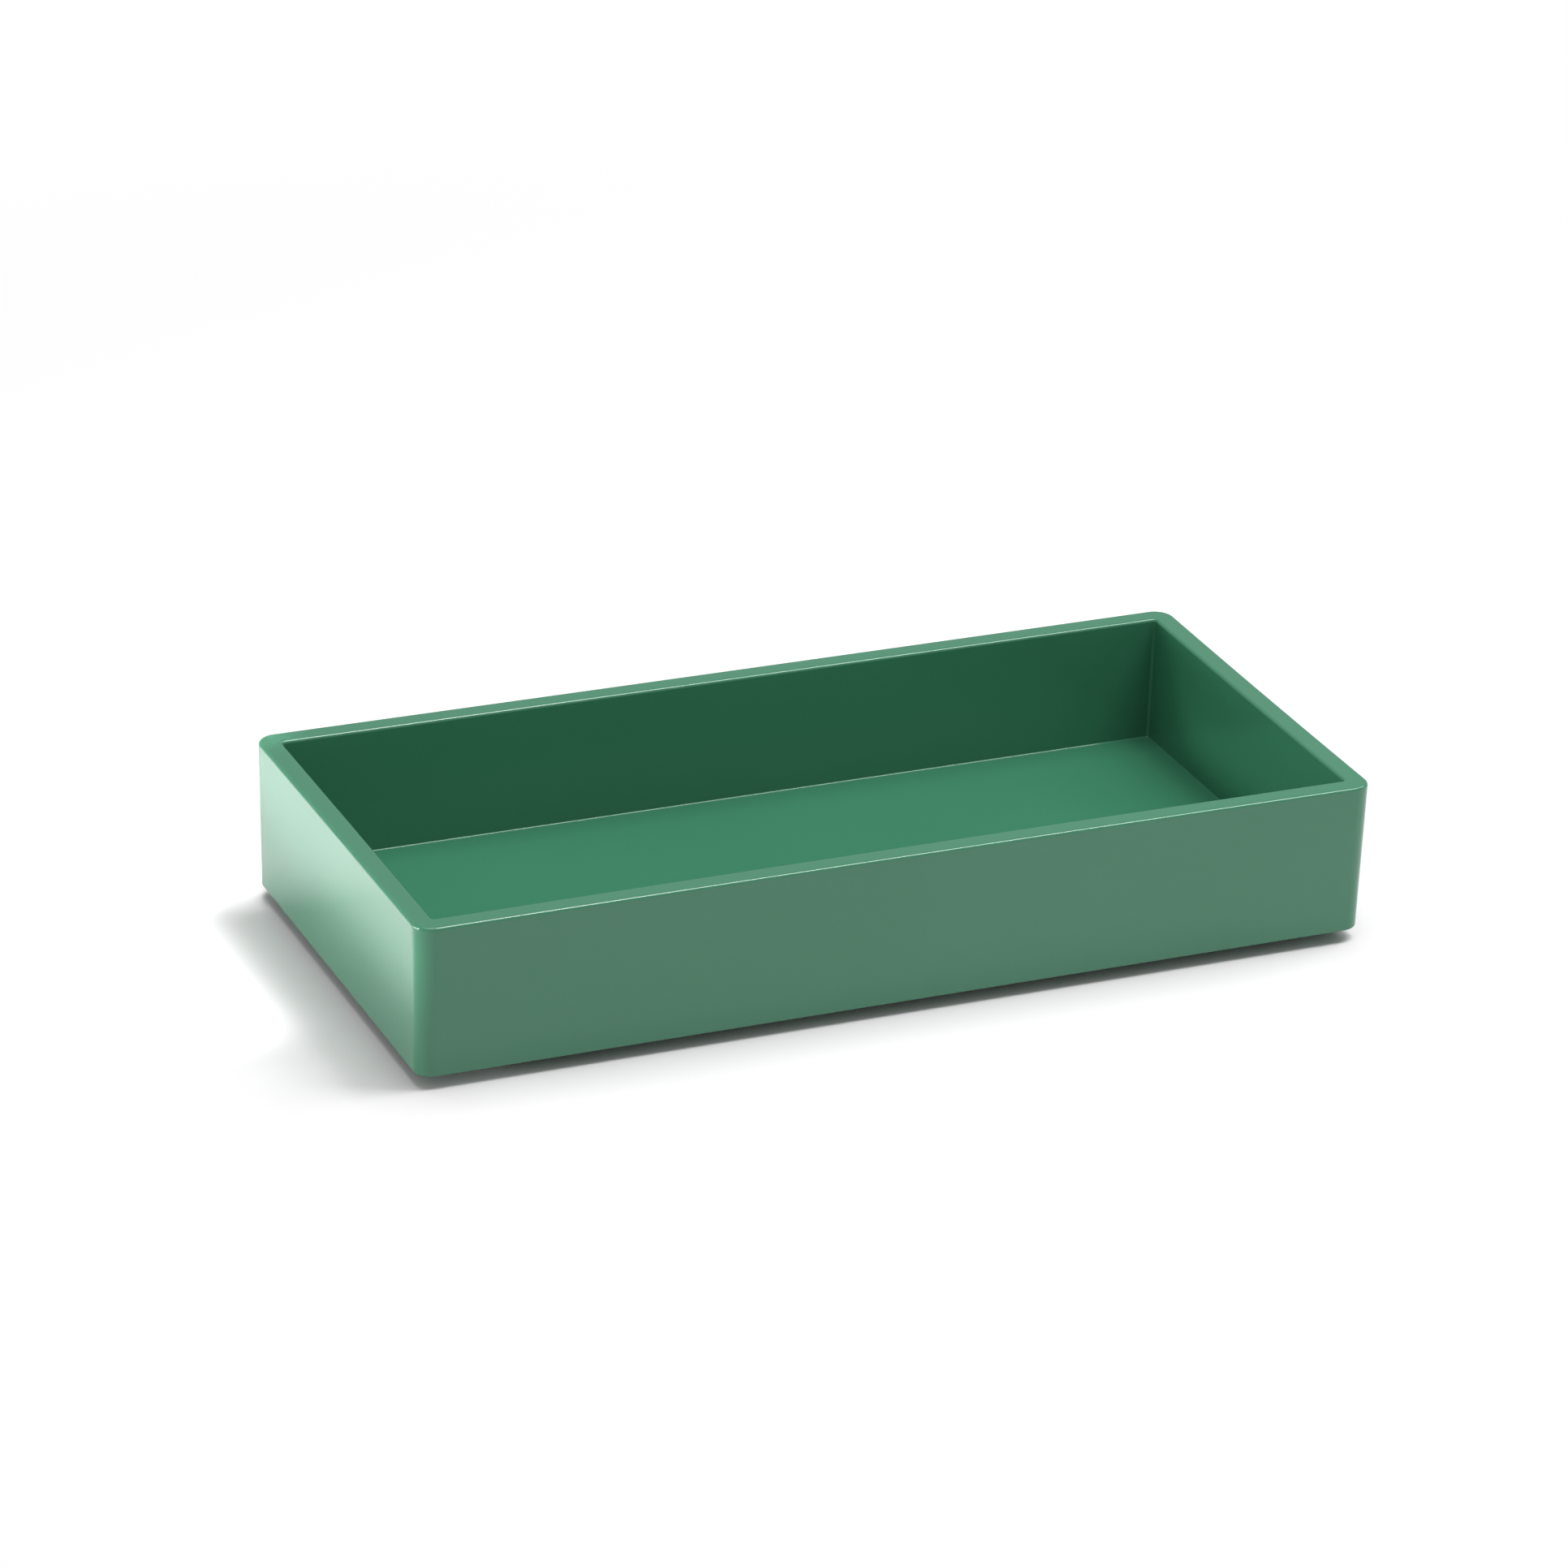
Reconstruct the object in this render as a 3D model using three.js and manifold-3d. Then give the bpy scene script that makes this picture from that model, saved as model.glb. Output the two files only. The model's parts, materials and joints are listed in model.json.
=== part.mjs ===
// Desk accessory tray: one moulded shell standing on four stick-on rubber feet.
// Millimetres, +Z up. The origin is at the middle of the footprint, on the desk.
// +X runs along the tray's length and -Y is its front.

import * as THREE from 'three';
import { mergeVertices } from 'three/addons/utils/BufferGeometryUtils.js';
import Module from 'manifold-3d';

// Driving dimensions of the shell.
const TRAY_LENGTH = 203;
const TRAY_WIDTH = 96.3;
const SHELL_HEIGHT = 31.8;
const WALL_THICKNESS = 4.5;
const FLOOR_THICKNESS = 3.8;
const OUTER_TAPER = 0.6;
const INNER_TAPER = 0.45;
const OUTER_CORNER_RADIUS = 4.1;
const INNER_CORNER_RADIUS = 0.6;
const RIM_OUTER_ROUND = 0.7;
const RIM_INNER_ROUND = 0.7;
const BOTTOM_ROUND = 0.6;
const FLOOR_ROUND = 0.25;

// The underside is hollowed inside a narrow skirt, so that only the feet touch the desk.
const SKIRT_WIDTH = 5;
const UNDERSIDE_HOLLOW = 1.2;
const HOLLOW_CORNER_RADIUS = 2.5;

// Driving dimensions of the feet, their adhesive discs and their pockets.
const FOOT_DIAMETER = 12;
const FOOT_HEIGHT = 4.5;
const FOOT_EDGE_ROUND = 0.6;
const FOOT_INSET = 15;
const ADHESIVE_THICKNESS = 0.2;
const ADHESIVE_MARGIN = 0.5;
const POCKET_DEPTH = 0.8;
const POCKET_CLEARANCE = 0.3;

// Facets.
const CORNER_STEPS = 8;
const ROUND_STEPS = 4;
const DISC_STEPS = 40;
const QUARTER_TURN = Math.PI / 2;
const SMALLEST_RADIUS = 0.1;

// Heights above the desk.
const HOLLOW_CEILING = FOOT_HEIGHT + ADHESIVE_THICKNESS - POCKET_DEPTH;
const SKIRT_BOTTOM = HOLLOW_CEILING - UNDERSIDE_HOLLOW;
const POCKET_CEILING = HOLLOW_CEILING + POCKET_DEPTH;
const TRAY_FLOOR = HOLLOW_CEILING + FLOOR_THICKNESS;
const RIM_TOP = SKIRT_BOTTOM + SHELL_HEIGHT;

const COLOURS = {
  green: { color: 0x5d8c6f, roughness: 0.16, metalness: 0 },
  rubber: { color: 0x1d1f1e, roughness: 0.8, metalness: 0 },
  adhesive: { color: 0xe6e4dc, roughness: 0.5, metalness: 0 },
};

const manifold = await Module();
manifold.setup();

// A rounded rectangle set in from the tray's largest outline, one point every few degrees.
function outline(inset, radius, z) {
  const corner = Math.max(radius, SMALLEST_RADIUS);
  const centreX = TRAY_LENGTH / 2 - inset - corner;
  const centreY = TRAY_WIDTH / 2 - inset - corner;
  const quadrants = [[1, 1], [-1, 1], [-1, -1], [1, -1]];
  const points = [];
  quadrants.forEach(([sideX, sideY], quadrant) => {
    for (let step = 0; step <= CORNER_STEPS; step += 1) {
      const angle = QUARTER_TURN * (quadrant + step / CORNER_STEPS);
      const x = sideX * centreX + corner * Math.cos(angle);
      const y = sideY * centreY + corner * Math.sin(angle);
      points.push(new THREE.Vector3(x, y, z));
    }
  });
  return points;
}

// A quarter round as outlines: the inset goes from `inset` by `across`, the height from `z` by `up`.
// A round that leaves a wall starts upright, and one that arrives at a wall ends upright.
function roundedEdge({ inset, across, z, up, radius, startsUpright }) {
  const rings = [];
  for (let step = 0; step <= ROUND_STEPS; step += 1) {
    const angle = QUARTER_TURN * step / ROUND_STEPS;
    const slow = 1 - Math.cos(angle);
    const fast = Math.sin(angle);
    const acrossShare = startsUpright ? slow : fast;
    const upShare = startsUpright ? fast : slow;
    const shift = across * acrossShare;
    rings.push(outline(inset + shift, radius - shift, z + up * upShare));
  }
  return rings;
}

// A closed skin over a run of outlines, with a flat lid on the first and on the last.
function skin(rings) {
  const positions = [];
  const triangle = (a, b, c) => [a, b, c].forEach((p) => positions.push(p.x, p.y, p.z));
  const count = rings[0].length;
  for (let level = 0; level + 1 < rings.length; level += 1) {
    const low = rings[level];
    const high = rings[level + 1];
    for (let i = 0; i < count; i += 1) {
      const next = (i + 1) % count;
      triangle(low[i], low[next], high[next]);
      triangle(low[i], high[next], high[i]);
    }
  }
  const first = rings[0];
  const last = rings[rings.length - 1];
  const firstMiddle = new THREE.Vector3(0, 0, first[0].z);
  const lastMiddle = new THREE.Vector3(0, 0, last[0].z);
  for (let i = 0; i < count; i += 1) {
    const next = (i + 1) % count;
    triangle(firstMiddle, first[next], first[i]);
    triangle(lastMiddle, last[i], last[next]);
  }
  const geometry = new THREE.BufferGeometry();
  geometry.setAttribute('position', new THREE.Float32BufferAttribute(positions, 3));
  return geometry;
}

function solidFrom(geometry) {
  const bare = geometry.clone();
  bare.deleteAttribute('normal');
  bare.deleteAttribute('uv');
  const merged = mergeVertices(bare);
  const vertProperties = new Float32Array(merged.attributes.position.array);
  const triVerts = new Uint32Array(merged.index.array);
  return new manifold.Manifold(new manifold.Mesh({ numProp: 3, vertProperties, triVerts }));
}

function geometryFrom(solid) {
  const mesh = solid.getMesh();
  const geometry = new THREE.BufferGeometry();
  geometry.setAttribute('position', new THREE.BufferAttribute(mesh.vertProperties, 3));
  geometry.setIndex(new THREE.BufferAttribute(mesh.triVerts, 1));
  geometry.computeVertexNormals();
  return geometry;
}

function piece(name, geometry, look) {
  const mesh = new THREE.Mesh(geometry, new THREE.MeshStandardMaterial(look));
  mesh.name = name;
  return mesh;
}

// A disc standing on the height `bottom`.
function disc(radius, bottom, top) {
  const geometry = new THREE.CylinderGeometry(radius, radius, top - bottom, DISC_STEPS);
  geometry.rotateX(QUARTER_TURN);
  geometry.translate(0, 0, (bottom + top) / 2);
  return geometry;
}

// The feet's places, named from the front left corner round to the back left one.
const footX = TRAY_LENGTH / 2 - FOOT_INSET;
const footY = TRAY_WIDTH / 2 - FOOT_INSET;
const FEET = [
  { place: 'front_left', x: -footX, y: -footY },
  { place: 'front_right', x: footX, y: -footY },
  { place: 'back_right', x: footX, y: footY },
  { place: 'back_left', x: -footX, y: footY },
];

// The shell, from the hollow under it, up the outside, over the rim and down to the inner floor.
function shellGeometry() {
  const wallRadius = OUTER_CORNER_RADIUS - OUTER_TAPER;
  const rimInner = WALL_THICKNESS - RIM_INNER_ROUND;
  const wallFoot = WALL_THICKNESS + INNER_TAPER;
  const rings = [
    outline(SKIRT_WIDTH, HOLLOW_CORNER_RADIUS, HOLLOW_CEILING),
    outline(SKIRT_WIDTH, HOLLOW_CORNER_RADIUS, SKIRT_BOTTOM),
    ...roundedEdge({
      inset: OUTER_TAPER + BOTTOM_ROUND,
      across: -BOTTOM_ROUND,
      z: SKIRT_BOTTOM,
      up: BOTTOM_ROUND,
      radius: wallRadius - BOTTOM_ROUND,
      startsUpright: false,
    }),
    ...roundedEdge({
      inset: 0,
      across: RIM_OUTER_ROUND,
      z: RIM_TOP - RIM_OUTER_ROUND,
      up: RIM_OUTER_ROUND,
      radius: OUTER_CORNER_RADIUS,
      startsUpright: true,
    }),
    ...roundedEdge({
      inset: rimInner,
      across: RIM_INNER_ROUND,
      z: RIM_TOP,
      up: -RIM_INNER_ROUND,
      radius: INNER_CORNER_RADIUS + RIM_INNER_ROUND,
      startsUpright: false,
    }),
    ...roundedEdge({
      inset: wallFoot,
      across: FLOOR_ROUND,
      z: TRAY_FLOOR + FLOOR_ROUND,
      up: -FLOOR_ROUND,
      radius: INNER_CORNER_RADIUS,
      startsUpright: true,
    }),
  ];
  return skin(rings);
}

function trayShell() {
  let solid = solidFrom(shellGeometry());
  const pocketRadius = FOOT_DIAMETER / 2 + POCKET_CLEARANCE;
  for (const foot of FEET) {
    const pocket = disc(pocketRadius, SKIRT_BOTTOM, POCKET_CEILING);
    pocket.translate(foot.x, foot.y, 0);
    solid = solid.subtract(solidFrom(pocket));
  }
  return piece('tray_shell', geometryFrom(solid), COLOURS.green);
}

// A rubber foot, rounded where it meets the desk, turned about its upright axis.
function rubberFoot({ place, x, y }) {
  const radius = FOOT_DIAMETER / 2;
  const profile = [new THREE.Vector2(0, 0)];
  for (let step = 0; step <= ROUND_STEPS; step += 1) {
    const angle = QUARTER_TURN * step / ROUND_STEPS;
    const across = radius - FOOT_EDGE_ROUND + FOOT_EDGE_ROUND * Math.sin(angle);
    const up = FOOT_EDGE_ROUND - FOOT_EDGE_ROUND * Math.cos(angle);
    profile.push(new THREE.Vector2(across, up));
  }
  profile.push(new THREE.Vector2(radius, FOOT_HEIGHT));
  profile.push(new THREE.Vector2(0, FOOT_HEIGHT));
  const geometry = new THREE.LatheGeometry(profile, DISC_STEPS);
  geometry.rotateX(QUARTER_TURN);
  const mesh = piece(`foot_${place}`, geometry, COLOURS.rubber);
  mesh.position.set(x, y, 0);
  return mesh;
}

// The double-sided film that holds a foot in its pocket.
function adhesiveDisc({ place, x, y }) {
  const radius = FOOT_DIAMETER / 2 - ADHESIVE_MARGIN;
  const geometry = disc(radius, FOOT_HEIGHT, POCKET_CEILING);
  const mesh = piece(`adhesive_${place}`, geometry, COLOURS.adhesive);
  mesh.position.set(x, y, 0);
  return mesh;
}

const tray = new THREE.Group();
tray.name = 'accessory_tray';
tray.add(trayShell());
for (const foot of FEET) {
  tray.add(adhesiveDisc(foot));
  tray.add(rubberFoot(foot));
}

export default tray;
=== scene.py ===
import json
import math

import bmesh
import bpy
from mathutils import Matrix, Vector


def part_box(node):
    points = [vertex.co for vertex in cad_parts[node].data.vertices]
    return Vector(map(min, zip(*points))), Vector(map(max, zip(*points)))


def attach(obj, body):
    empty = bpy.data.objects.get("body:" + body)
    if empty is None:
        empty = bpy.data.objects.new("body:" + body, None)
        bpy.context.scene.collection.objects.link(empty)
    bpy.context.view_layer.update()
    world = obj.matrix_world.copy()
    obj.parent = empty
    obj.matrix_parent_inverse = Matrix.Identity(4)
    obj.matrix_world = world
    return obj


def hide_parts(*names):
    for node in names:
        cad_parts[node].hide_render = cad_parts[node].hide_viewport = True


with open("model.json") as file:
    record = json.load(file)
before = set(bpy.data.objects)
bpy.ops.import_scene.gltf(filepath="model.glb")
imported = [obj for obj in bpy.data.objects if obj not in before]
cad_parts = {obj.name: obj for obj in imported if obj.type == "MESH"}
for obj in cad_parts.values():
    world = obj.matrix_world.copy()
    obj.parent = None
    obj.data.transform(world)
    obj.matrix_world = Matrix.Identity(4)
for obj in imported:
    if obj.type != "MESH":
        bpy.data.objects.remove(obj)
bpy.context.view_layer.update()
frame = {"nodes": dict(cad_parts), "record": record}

MM = 0.001
QUARTER_TURN = math.pi / 2
UPRIGHT = Vector((0, 0, 1))

# The shell's own sizes, as in the solids. Its outer box and its floor come from the frame.
WALL = 4.5 * MM
OUTER_TAPER = 0.6 * MM
INNER_TAPER = 0.45 * MM
OUTER_CORNER = 4.1 * MM
INNER_CORNER = 0.6 * MM
SMALLEST_CORNER = 0.1 * MM
RIM_OUTER_ROUND = 0.7 * MM
RIM_INNER_ROUND = 0.7 * MM
BOTTOM_ROUND = 0.6 * MM
FLOOR_ROUND = 0.25 * MM
SKIRT_WIDTH = 5 * MM
UNDERSIDE_HOLLOW = 1.2 * MM
HOLLOW_CORNER = 2.5 * MM
POCKET_DEPTH = 0.8 * MM
POCKET_CLEARANCE = 0.3 * MM
FOOT_EDGE_ROUND = 0.6 * MM
FOOT_TOP_ROUND = 0.15 * MM

# How far the middles of the wall tops draw inward.
FRONT_BOW = 0.42 * MM
BACK_BOW = 0.2 * MM
LEFT_BOW = 0.06 * MM
RIGHT_BOW = 0.23 * MM

# Steps of the fine mesh.
CORNER_STEPS = 12
LONG_STEPS = 36
SHORT_STEPS = 18
ROUND_STEPS = 6
WALL_STEPS = 10
FLOOR_BANDS = 4
DISC_STEPS = 64
SHARP_ANGLE = math.radians(40)

# The noise in the moulded surface: its scale for each metre, its detail and the range that counts.
NOISE_ROUGHNESS = 0.5
DRIFT_SCALE = 14
DRIFT_DETAIL = 2
DRIFT_RANGE = (0.3, 0.7)
HAZE_SCALE = 38
HAZE_DETAIL = 5
HAZE_RANGE = (0.35, 0.75)
RIPPLE_DETAIL = 1
PEEL_DETAIL = 2

# The camera, as fitted to the tray's edges in the photograph.
CAMERA_AZIMUTH = math.radians(-23.64)
CAMERA_ELEVATION = math.radians(24.26)
CAMERA_ROLL = math.radians(1.834)
CAMERA_DISTANCE = 1.3794
CAMERA_AIM = Vector((-0.001175, 0.011357, 0.024738))
CAMERA_LENS = 156.9
CAMERA_SENSOR = 36

# The floor turns white between two distances from the tray's middle.
WHITE = (1, 1, 1, 1)
WHITE_STRENGTH = 1
FLOOR_SIZE = 8
FLOOR_COLOUR = (0.8, 0.78, 0.793, 1)
FLOOR_FADE_START = 0.25
FLOOR_FADE_END = 0.5
WORLD_LEVEL = 0.416

# Lamps: places, aims and sizes in metres, powers in watts and spreads in degrees.
FULL_SPREAD = 180
SOFTBOX_AIM = (0, 0, 0.02)
SOFTBOXES = {
    "key_softbox": {
        "place": (0.44, -0.18, 1.12),
        "aim": SOFTBOX_AIM,
        "size": (0.32, 0.5),
        "power": 6.9,
    },
    "top_softbox": {
        "place": (0, 0, 1.2),
        "aim": SOFTBOX_AIM,
        "size": (0.8, 0.8),
        "power": 7.1,
    },
    "right_softbox": {
        "place": (0.85, 0.1, 0.85),
        "aim": SOFTBOX_AIM,
        "size": (0.5, 0.5),
        "power": 2.8,
    },
    "left_softbox": {
        "place": (-0.8, 0.3, 0.06),
        "aim": (-0.1, 0.02, 0.02),
        "size": (0.4, 0.1),
        "power": 3.7,
    },
    "left_wall_beam": {
        "place": (-0.3, 0.02, 0.055),
        "aim": (-0.1, 0, 0.029),
        "size": (0.14, 0.012),
        "power": 0.0062,
        "spread": 10,
    },
}
BEAM_HEIGHT = 0.1
FLOOR_BEAMS = {
    "left_floor_beam": {
        "centre": (-0.139, 0.0525),
        "size": (0.044, 0.135),
        "power": 0.0208,
        "spread": 14,
    },
    "back_floor_beam": {
        "centre": (-0.1085, 0.089),
        "size": (0.027, 0.092),
        "power": 0.0067,
        "spread": 11,
    },
}

# What the frame gives.
SHELL_LOW, SHELL_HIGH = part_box("tray_shell")
HALF_LENGTH = SHELL_HIGH.x
HALF_WIDTH = SHELL_HIGH.y
SKIRT_BOTTOM = SHELL_LOW.z
RIM_TOP = SHELL_HIGH.z
TRAY_FLOOR = next(m["pos_m"][2] for m in frame["record"]["mounts"] if m["name"] == "tray_floor")
FOOT_PLACES = ["front_left", "front_right", "back_right", "back_left"]
FEET = [f"foot_{place}" for place in FOOT_PLACES]
ADHESIVES = [f"adhesive_{place}" for place in FOOT_PLACES]

# What follows from the sizes: two heights, and two insets from the shell's largest outline.
HOLLOW_CEILING = SKIRT_BOTTOM + UNDERSIDE_HOLLOW
POCKET_CEILING = HOLLOW_CEILING + POCKET_DEPTH
WALL_FOOT = WALL + INNER_TAPER
FLOOR_EDGE = WALL_FOOT + FLOOR_ROUND


# Objects and nodes

def placed_object(name, data):
    made = bpy.data.objects.new(name, data)
    bpy.context.scene.collection.objects.link(made)
    return made


def bare_material(name):
    material = bpy.data.materials.new(name)
    material.use_nodes = True
    material.node_tree.nodes.clear()
    return material


def add_node(tree, kind, **values):
    node = tree.nodes.new(kind)
    for name, value in values.items():
        setattr(node, name, value)
    return node


def set_inputs(node, **values):
    for name, value in values.items():
        node.inputs[name.replace("_", " ")].default_value = value
    return node


# Materials

SURFACE_INPUTS = {
    "Colour": "NodeSocketColor",
    "Colour Drift": "NodeSocketFloat",
    "Roughness": "NodeSocketFloat",
    "Roughness Drift": "NodeSocketFloat",
    "Ripple Size": "NodeSocketFloat",
    "Peel Size": "NodeSocketFloat",
    "Peel Share": "NodeSocketFloat",
}
SURFACE_OUTPUTS = {
    "Colour": "NodeSocketColor",
    "Roughness": "NodeSocketFloat",
    "Height": "NodeSocketFloat",
}


def moulded_surface_group():
    """Ripples and orange peel as a height, a slow drift of the colour, and faint wear in the gloss."""
    group = bpy.data.node_groups.new("moulded_surface", "ShaderNodeTree")
    for name, kind in SURFACE_INPUTS.items():
        group.interface.new_socket(name=name, in_out="INPUT", socket_type=kind)
    for name, kind in SURFACE_OUTPUTS.items():
        group.interface.new_socket(name=name, in_out="OUTPUT", socket_type=kind)
    given = add_node(group, "NodeGroupInput").outputs
    results = add_node(group, "NodeGroupOutput").inputs
    place = add_node(group, "ShaderNodeTexCoord")
    link = group.links.new

    def feed(slot, source):
        if isinstance(source, (int, float)):
            slot.default_value = source
        else:
            link(source, slot)

    def noise(scale, detail):
        node = add_node(group, "ShaderNodeTexNoise")
        set_inputs(node, Detail=detail, Roughness=NOISE_ROUGHNESS)
        link(place.outputs["Object"], node.inputs["Vector"])
        feed(node.inputs["Scale"], scale)
        return node.outputs["Fac"]

    def both_ways(mask, counted):
        """A mask's counted range, stretched to run from -1 to 1."""
        low, high = counted
        node = add_node(group, "ShaderNodeMapRange")
        set_inputs(node, From_Min=low, From_Max=high, To_Min=-1, To_Max=1)
        link(mask, node.inputs["Value"])
        return node.outputs["Result"]

    def multiply_add(value, factor, offset):
        node = add_node(group, "ShaderNodeMath", operation="MULTIPLY_ADD")
        for slot, source in zip(node.inputs, (value, factor, offset)):
            feed(slot, source)
        return node.outputs["Value"]

    drift = both_ways(noise(DRIFT_SCALE, DRIFT_DETAIL), DRIFT_RANGE)
    tint = add_node(group, "ShaderNodeVectorMath", operation="SCALE")
    link(given["Colour"], tint.inputs["Vector"])
    link(multiply_add(drift, given["Colour Drift"], 1), tint.inputs["Scale"])
    link(tint.outputs["Vector"], results["Colour"])

    haze = both_ways(noise(HAZE_SCALE, HAZE_DETAIL), HAZE_RANGE)
    hazed = multiply_add(haze, given["Roughness Drift"], given["Roughness"])
    link(hazed, results["Roughness"])

    ripple = noise(given["Ripple Size"], RIPPLE_DETAIL)
    peel = noise(given["Peel Size"], PEEL_DETAIL)
    link(multiply_add(peel, given["Peel Share"], ripple), results["Height"])
    return group


MOULDED_SURFACE = moulded_surface_group()


def surfaced_material(name, surface, bump_height, fixed):
    """A material fed by the moulded surface group, with `fixed` straight on the shader's sockets."""
    material = bare_material(name)
    tree = material.node_tree
    output = add_node(tree, "ShaderNodeOutputMaterial")
    shader = add_node(tree, "ShaderNodeBsdfPrincipled")
    for socket_name, value in fixed.items():
        shader.inputs[socket_name].default_value = value
    group = add_node(tree, "ShaderNodeGroup", node_tree=MOULDED_SURFACE)
    for socket_name, value in surface.items():
        group.inputs[socket_name].default_value = value
    bump = add_node(tree, "ShaderNodeBump")
    set_inputs(bump, Strength=1, Distance=bump_height)
    link = tree.links.new
    link(group.outputs["Colour"], shader.inputs["Base Color"])
    link(group.outputs["Roughness"], shader.inputs["Roughness"])
    link(group.outputs["Height"], bump.inputs["Height"])
    link(bump.outputs["Normal"], shader.inputs["Normal"])
    link(shader.outputs["BSDF"], output.inputs["Surface"])
    return material


def green_plastic():
    surface = {
        "Colour": (0.0425, 0.193, 0.108, 1),
        "Colour Drift": 0.03,
        "Roughness": 0.17,
        "Roughness Drift": 0.03,
        "Ripple Size": 70,
        "Peel Size": 900,
        "Peel Share": 0.03,
    }
    fixed = {"IOR": 1.5, "Coat Weight": 0.15, "Coat Roughness": 0.03, "Coat IOR": 1.5}
    return surfaced_material("green_moulded_plastic", surface, 0.006 * MM, fixed)


def foot_rubber():
    surface = {
        "Colour": (0.013, 0.014, 0.014, 1),
        "Colour Drift": 0.2,
        "Roughness": 0.72,
        "Roughness Drift": 0.1,
        "Ripple Size": 300,
        "Peel Size": 2600,
        "Peel Share": 0.8,
    }
    fixed = {"IOR": 1.45, "Specular IOR Level": 0.35}
    return surfaced_material("foot_rubber", surface, 0.02 * MM, fixed)


def adhesive_film():
    surface = {
        "Colour": (0.78, 0.76, 0.69, 1),
        "Colour Drift": 0.05,
        "Roughness": 0.5,
        "Roughness Drift": 0.08,
        "Ripple Size": 500,
        "Peel Size": 3000,
        "Peel Share": 0.5,
    }
    return surfaced_material("adhesive_film", surface, 0.01 * MM, {"IOR": 1.45})


# Meshes

def outline(inset, corner, z):
    """A rounded rectangle inside the shell's largest outline, its straight sides in short steps."""
    corner = max(corner, SMALLEST_CORNER)
    x_middle = HALF_LENGTH - inset - corner
    y_middle = HALF_WIDTH - inset - corner
    quadrants = [(1, 1), (-1, 1), (-1, -1), (1, -1)]
    centres = [(side_x * x_middle, side_y * y_middle) for side_x, side_y in quadrants]
    steps_after = [LONG_STEPS, SHORT_STEPS, LONG_STEPS, SHORT_STEPS]
    points = []
    for quadrant, ((centre_x, centre_y), count) in enumerate(zip(centres, steps_after)):
        for step in range(CORNER_STEPS + 1):
            angle = QUARTER_TURN * (quadrant + step / CORNER_STEPS)
            x = centre_x + corner * math.cos(angle)
            y = centre_y + corner * math.sin(angle)
            points.append(Vector((x, y, z)))
        turn = QUARTER_TURN * (quadrant + 1)
        outward = Vector((math.cos(turn), math.sin(turn), 0)) * corner
        start = Vector((centre_x, centre_y, z)) + outward
        end = Vector((*centres[(quadrant + 1) % len(centres)], z)) + outward
        points += [start.lerp(end, step / count) for step in range(1, count)]
    return points


def rounded_edge(inset, across, z, up, corner, starts_upright):
    """A quarter round as outlines, while the inset goes by `across` and the height by `up`."""
    rings = []
    for step in range(ROUND_STEPS + 1):
        angle = QUARTER_TURN * step / ROUND_STEPS
        slow = 1 - math.cos(angle)
        fast = math.sin(angle)
        shift = across * (slow if starts_upright else fast)
        rise = up * (fast if starts_upright else slow)
        rings.append(outline(inset + shift, corner - shift, z + rise))
    return rings


def wall_rings(inset_from, inset_to, z_from, z_to, corner_from, corner_to):
    """The outlines between the ends of a tapered wall, both ends left out."""
    rings = []
    for step in range(1, WALL_STEPS):
        share = step / WALL_STEPS
        inset = inset_from + (inset_to - inset_from) * share
        corner = corner_from + (corner_to - corner_from) * share
        rings.append(outline(inset, corner, z_from + (z_to - z_from) * share))
    return rings


def draw_in(point):
    """Moves a point of a wall inward, most at the middle of its top and not at all at its foot."""
    height = (point.z - TRAY_FLOOR) / (RIM_TOP - TRAY_FLOOR)
    if height <= 0:
        return point
    moved = point.copy()
    if abs(point.y) > HALF_WIDTH - FLOOR_EDGE:
        middle = max(0, 1 - (point.x / HALF_LENGTH) ** 2)
        bow = FRONT_BOW if point.y < 0 else BACK_BOW
        moved.y -= math.copysign(bow * height * middle, point.y)
    if abs(point.x) > HALF_LENGTH - FLOOR_EDGE:
        middle = max(0, 1 - (point.y / HALF_WIDTH) ** 2)
        bow = LEFT_BOW if point.x < 0 else RIGHT_BOW
        moved.x -= math.copysign(bow * height * middle, point.x)
    return moved


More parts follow.
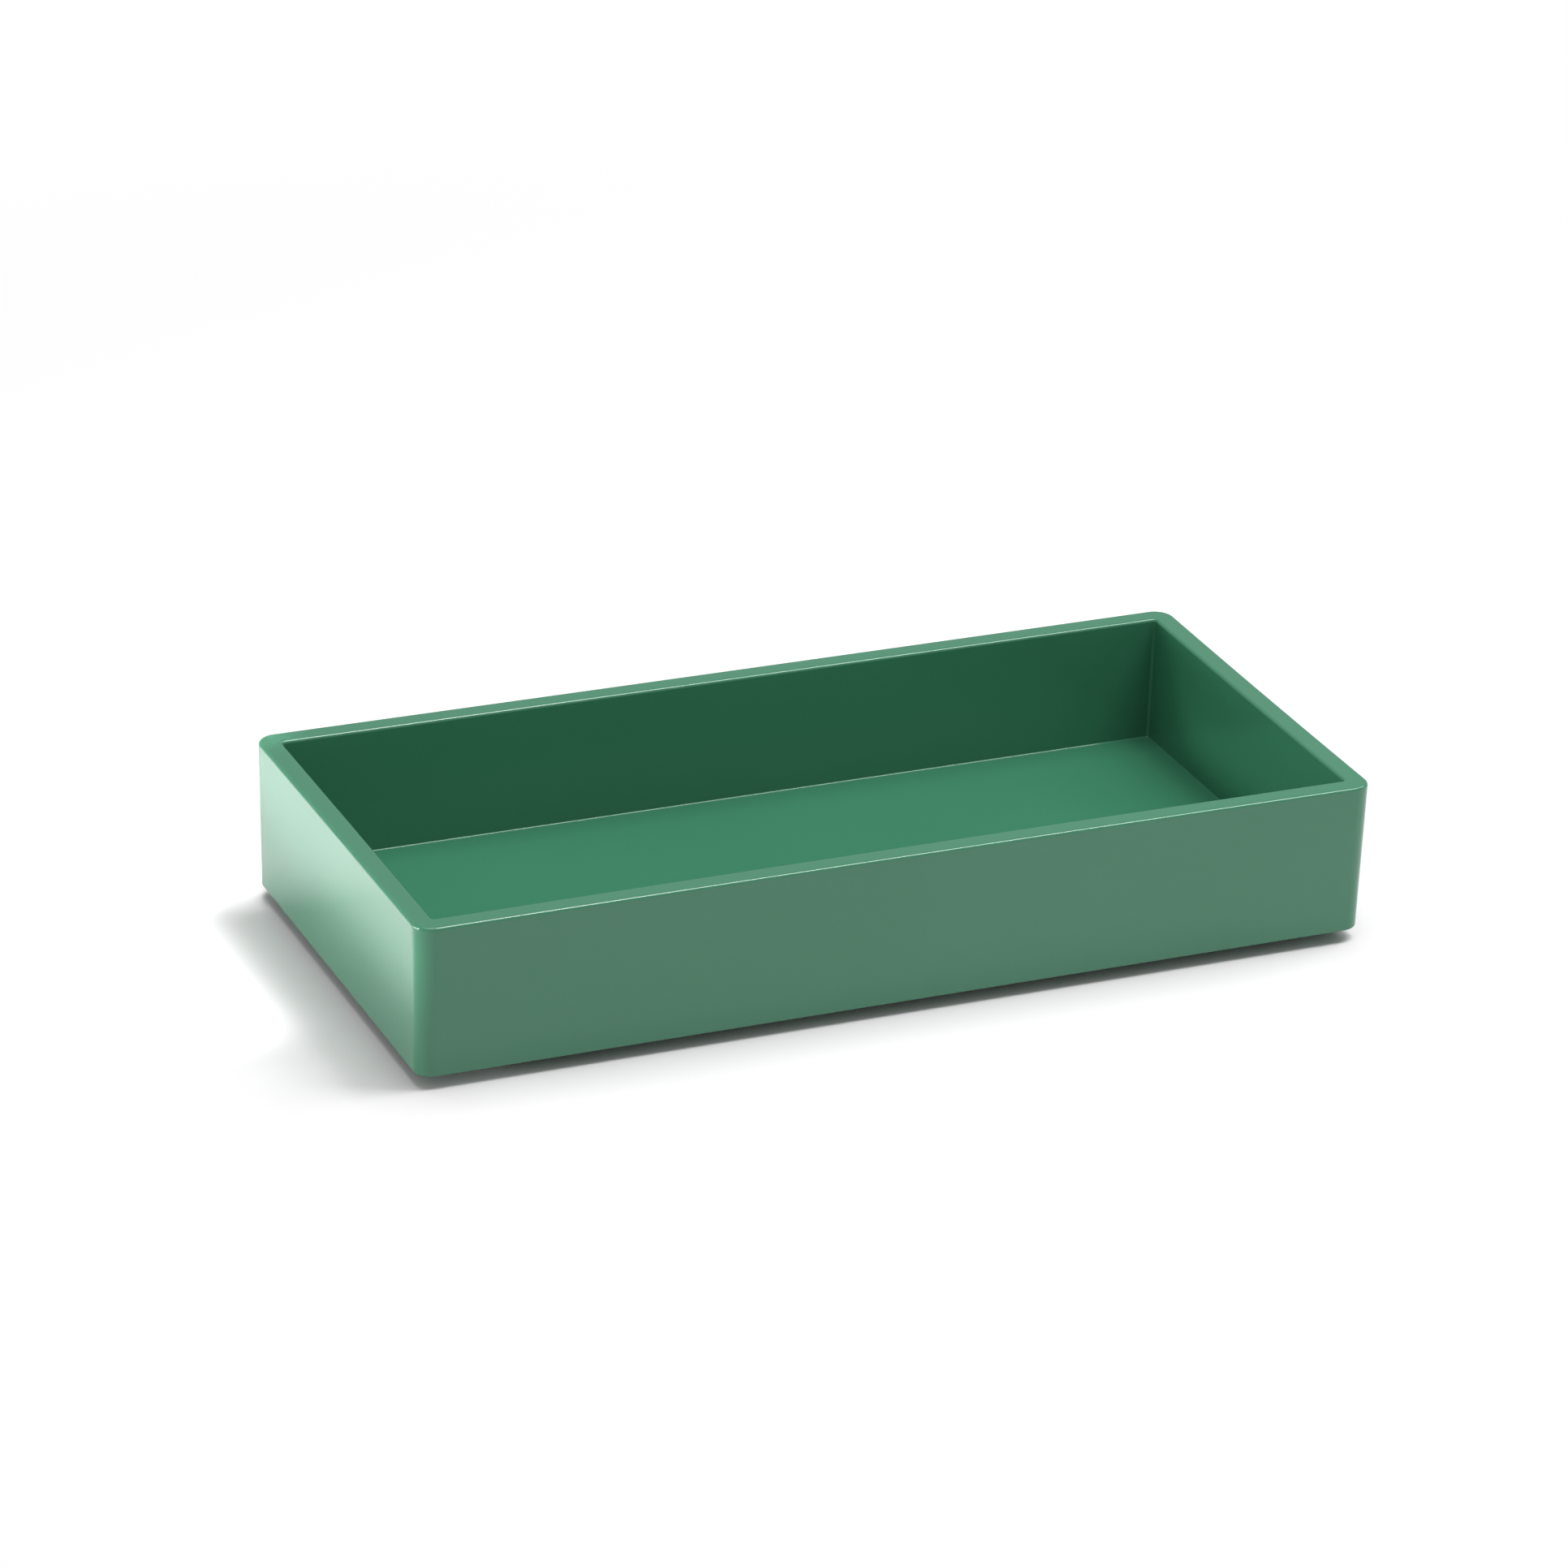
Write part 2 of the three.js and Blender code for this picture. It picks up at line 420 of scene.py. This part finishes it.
def shell_rings():
    """Outlines from the skirt's inner edge, up the outside, over the rim and down to the floor."""
    wall_corner = OUTER_CORNER - OUTER_TAPER
    outer_top = RIM_TOP - RIM_OUTER_ROUND
    inner_top = RIM_TOP - RIM_INNER_ROUND
    outer_bottom = SKIRT_BOTTOM + BOTTOM_ROUND
    inner_bottom = TRAY_FLOOR + FLOOR_ROUND
    rings = [outline(SKIRT_WIDTH, HOLLOW_CORNER, SKIRT_BOTTOM)]
    rings += rounded_edge(
        inset=OUTER_TAPER + BOTTOM_ROUND,
        across=-BOTTOM_ROUND,
        z=SKIRT_BOTTOM,
        up=BOTTOM_ROUND,
        corner=wall_corner - BOTTOM_ROUND,
        starts_upright=False,
    )
    rings += wall_rings(OUTER_TAPER, 0, outer_bottom, outer_top, wall_corner, OUTER_CORNER)
    rings += rounded_edge(
        inset=0,
        across=RIM_OUTER_ROUND,
        z=outer_top,
        up=RIM_OUTER_ROUND,
        corner=OUTER_CORNER,
        starts_upright=True,
    )
    rings += rounded_edge(
        inset=WALL - RIM_INNER_ROUND,
        across=RIM_INNER_ROUND,
        z=RIM_TOP,
        up=-RIM_INNER_ROUND,
        corner=INNER_CORNER + RIM_INNER_ROUND,
        starts_upright=False,
    )
    rings += wall_rings(WALL, WALL_FOOT, inner_top, inner_bottom, INNER_CORNER, INNER_CORNER)
    rings += rounded_edge(
        inset=WALL_FOOT,
        across=FLOOR_ROUND,
        z=inner_bottom,
        up=-FLOOR_ROUND,
        corner=INNER_CORNER,
        starts_upright=True,
    )
    reach = HALF_WIDTH - FLOOR_EDGE
    for band in range(1, FLOOR_BANDS):
        rings.append(outline(FLOOR_EDGE + reach * band / FLOOR_BANDS, INNER_CORNER, TRAY_FLOOR))
    return rings


def circle(x, y, z, radius):
    turns = [2 * math.pi * step / DISC_STEPS for step in range(DISC_STEPS)]
    return [Vector((x + radius * math.cos(t), y + radius * math.sin(t), z)) for t in turns]


def add_ring(mesh, points):
    return [mesh.verts.new(point) for point in points]


def bridge(mesh, low, high):
    for i, vertex in enumerate(low):
        following = (i + 1) % len(low)
        mesh.faces.new((vertex, low[following], high[following], high[i]))


def ring_edges(mesh, ring):
    found = []
    for i, vertex in enumerate(ring):
        other = ring[(i + 1) % len(ring)]
        found.append(mesh.edges.get((vertex, other)) or mesh.edges.new((vertex, other)))
    return found


def finished_object(name, mesh, material):
    """Turns a bmesh into a smooth piece whose edges stay crisp where faces meet steeply."""
    bmesh.ops.recalc_face_normals(mesh, faces=mesh.faces)
    for face in mesh.faces:
        face.smooth = True
    for edge in mesh.edges:
        edge.smooth = edge.calc_face_angle(0) < SHARP_ANGLE
    data = bpy.data.meshes.new(name)
    mesh.to_mesh(data)
    mesh.free()
    data.materials.append(material)
    made = placed_object(name, data)
    evened = made.modifiers.new("even_normals", "WEIGHTED_NORMAL")
    evened.keep_sharp = True
    return made


# Pieces

def moulded_shell(material):
    mesh = bmesh.new()
    rings = [add_ring(mesh, [draw_in(p) for p in ring]) for ring in shell_rings()]
    for low, high in zip(rings, rings[1:]):
        bridge(mesh, low, high)
    mesh.faces.new(rings[-1])
    ceiling = add_ring(mesh, outline(SKIRT_WIDTH, HOLLOW_CORNER, HOLLOW_CEILING))
    bridge(mesh, ceiling, rings[0])
    ceiling_edges = ring_edges(mesh, ceiling)
    for foot in FEET:
        low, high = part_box(foot)
        middle = (low + high) / 2
        radius = (high.x - low.x) / 2 + POCKET_CLEARANCE
        mouth = add_ring(mesh, circle(middle.x, middle.y, HOLLOW_CEILING, radius))
        top = add_ring(mesh, circle(middle.x, middle.y, POCKET_CEILING, radius))
        bridge(mesh, mouth, top)
        mesh.faces.new(top)
        ceiling_edges += ring_edges(mesh, mouth)
    bmesh.ops.triangle_fill(mesh, use_beauty=True, use_dissolve=False, edges=ceiling_edges)
    shell = finished_object("moulded_shell", mesh, material)
    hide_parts("tray_shell")
    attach(shell, "root")


def rubber_foot(node, material):
    low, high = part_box(node)
    middle = (low + high) / 2
    radius = (high.x - low.x) / 2
    angles = [QUARTER_TURN * step / ROUND_STEPS for step in range(ROUND_STEPS + 1)]
    mesh = bmesh.new()
    rings = []
    for angle in angles:
        reach = radius - FOOT_EDGE_ROUND * (1 - math.sin(angle))
        z = low.z + FOOT_EDGE_ROUND * (1 - math.cos(angle))
        rings.append(add_ring(mesh, circle(middle.x, middle.y, z, reach)))
    for angle in angles:
        reach = radius - FOOT_TOP_ROUND * (1 - math.cos(angle))
        z = high.z - FOOT_TOP_ROUND * (1 - math.sin(angle))
        rings.append(add_ring(mesh, circle(middle.x, middle.y, z, reach)))
    for lower, upper in zip(rings, rings[1:]):
        bridge(mesh, lower, upper)
    mesh.faces.new(rings[0])
    mesh.faces.new(rings[-1])
    foot = finished_object(node + "_moulded", mesh, material)
    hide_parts(node)
    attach(foot, "root")


def film_discs(material):
    """The solids' own film discs, in a better material."""
    for node in ADHESIVES:
        slots = frame["nodes"][node].data.materials
        slots.clear()
        slots.append(material)


# Surroundings

def seen_by(tree, *ray_kinds):
    """1 for the named kinds of ray and 0 for the rest."""
    path = add_node(tree, "ShaderNodeLightPath")
    seen = path.outputs[ray_kinds[0]]
    for kind in ray_kinds[1:]:
        either = add_node(tree, "ShaderNodeMath", operation="MAXIMUM")
        tree.links.new(seen, either.inputs[0])
        tree.links.new(path.outputs[kind], either.inputs[1])
        seen = either.outputs["Value"]
    return seen


def floor_material():
    """A pale floor that keeps the tray's shadow and is seen to turn pure white further away."""
    material = bare_material("white_floor")
    tree = material.node_tree
    output = add_node(tree, "ShaderNodeOutputMaterial")
    paper = set_inputs(add_node(tree, "ShaderNodeBsdfDiffuse"), Color=FLOOR_COLOUR)
    white = set_inputs(add_node(tree, "ShaderNodeEmission"), Strength=WHITE_STRENGTH)
    place = add_node(tree, "ShaderNodeTexCoord")
    distance = add_node(tree, "ShaderNodeVectorMath", operation="LENGTH")
    fade = add_node(tree, "ShaderNodeMapRange", interpolation_type="SMOOTHSTEP")
    set_inputs(fade, From_Min=FLOOR_FADE_START, From_Max=FLOOR_FADE_END)
    share = add_node(tree, "ShaderNodeMath", operation="MULTIPLY")
    both = add_node(tree, "ShaderNodeMixShader")
    link = tree.links.new
    link(place.outputs["Object"], distance.inputs[0])
    link(distance.outputs["Value"], fade.inputs["Value"])
    link(fade.outputs["Result"], share.inputs[0])
    link(seen_by(tree, "Is Camera Ray", "Is Glossy Ray"), share.inputs[1])
    link(share.outputs["Value"], both.inputs["Fac"])
    link(paper.outputs["BSDF"], both.inputs[1])
    link(white.outputs["Emission"], both.inputs[2])
    link(both.outputs["Shader"], output.inputs["Surface"])
    return material


def white_floor():
    half = FLOOR_SIZE / 2
    corners = [(-half, -half, 0), (half, -half, 0), (half, half, 0), (-half, half, 0)]
    data = bpy.data.meshes.new("floor")
    data.from_pydata(corners, [], [(0, 1, 2, 3)])
    data.materials.append(floor_material())
    placed_object("floor", data)


def studio_world():
    """Even light from all round, which the camera itself sees as pure white."""
    world = bpy.data.worlds.new("studio")
    bpy.context.scene.world = world
    world.use_nodes = True
    tree = world.node_tree
    tree.nodes.clear()
    output = add_node(tree, "ShaderNodeOutputWorld")
    background = set_inputs(add_node(tree, "ShaderNodeBackground"), Color=WHITE)
    level = add_node(tree, "ShaderNodeMapRange")
    set_inputs(level, From_Min=0, From_Max=1, To_Min=WORLD_LEVEL, To_Max=WHITE_STRENGTH)
    tree.links.new(seen_by(tree, "Is Camera Ray"), level.inputs["Value"])
    tree.links.new(level.outputs["Result"], background.inputs["Strength"])
    tree.links.new(background.outputs["Background"], output.inputs["Surface"])


def area_lamp(name, place, size, power, spread=FULL_SPREAD):
    """A rectangular lamp that shines straight down until it is turned."""
    data = bpy.data.lights.new(name, "AREA")
    data.shape = "RECTANGLE"
    data.size, data.size_y = size
    data.spread = math.radians(spread)
    data.energy = power
    lamp = placed_object(name, data)
    lamp.location = place
    return lamp


def softbox(name, place, aim, **settings):
    lamp = area_lamp(name, place, **settings)
    direction = Vector(aim) - Vector(place)
    lamp.rotation_euler = direction.to_track_quat("-Z", "Y").to_euler()


def floor_beam(name, centre, **settings):
    """A narrow soft beam down on the floor beside the left end, which that end reflects."""
    area_lamp(name, (*centre, BEAM_HEIGHT), **settings)


def photo_camera():
    flat = math.cos(CAMERA_ELEVATION)
    back_x = math.sin(CAMERA_AZIMUTH) * flat
    back_y = -math.cos(CAMERA_AZIMUTH) * flat
    back = Vector((back_x, back_y, math.sin(CAMERA_ELEVATION)))
    level_right = UPRIGHT.cross(back).normalized()
    level_up = back.cross(level_right)
    right = level_right * math.cos(CAMERA_ROLL) + level_up * math.sin(CAMERA_ROLL)
    up = back.cross(right)
    turned = Matrix((right, up, back)).transposed().to_4x4()
    data = bpy.data.cameras.new("photo_camera")
    data.sensor_width = CAMERA_SENSOR
    data.lens = CAMERA_LENS
    camera = placed_object("photo_camera", data)
    camera.matrix_world = Matrix.Translation(CAMERA_AIM + back * CAMERA_DISTANCE) @ turned
    bpy.context.scene.camera = camera


photo_camera()
moulded_shell(green_plastic())
rubber = foot_rubber()
for foot in FEET:
    rubber_foot(foot, rubber)
film_discs(adhesive_film())
white_floor()
studio_world()
for name, settings in SOFTBOXES.items():
    softbox(name, **settings)
for name, settings in FLOOR_BEAMS.items():
    floor_beam(name, **settings)
bpy.context.scene.view_settings.view_transform = "Standard"
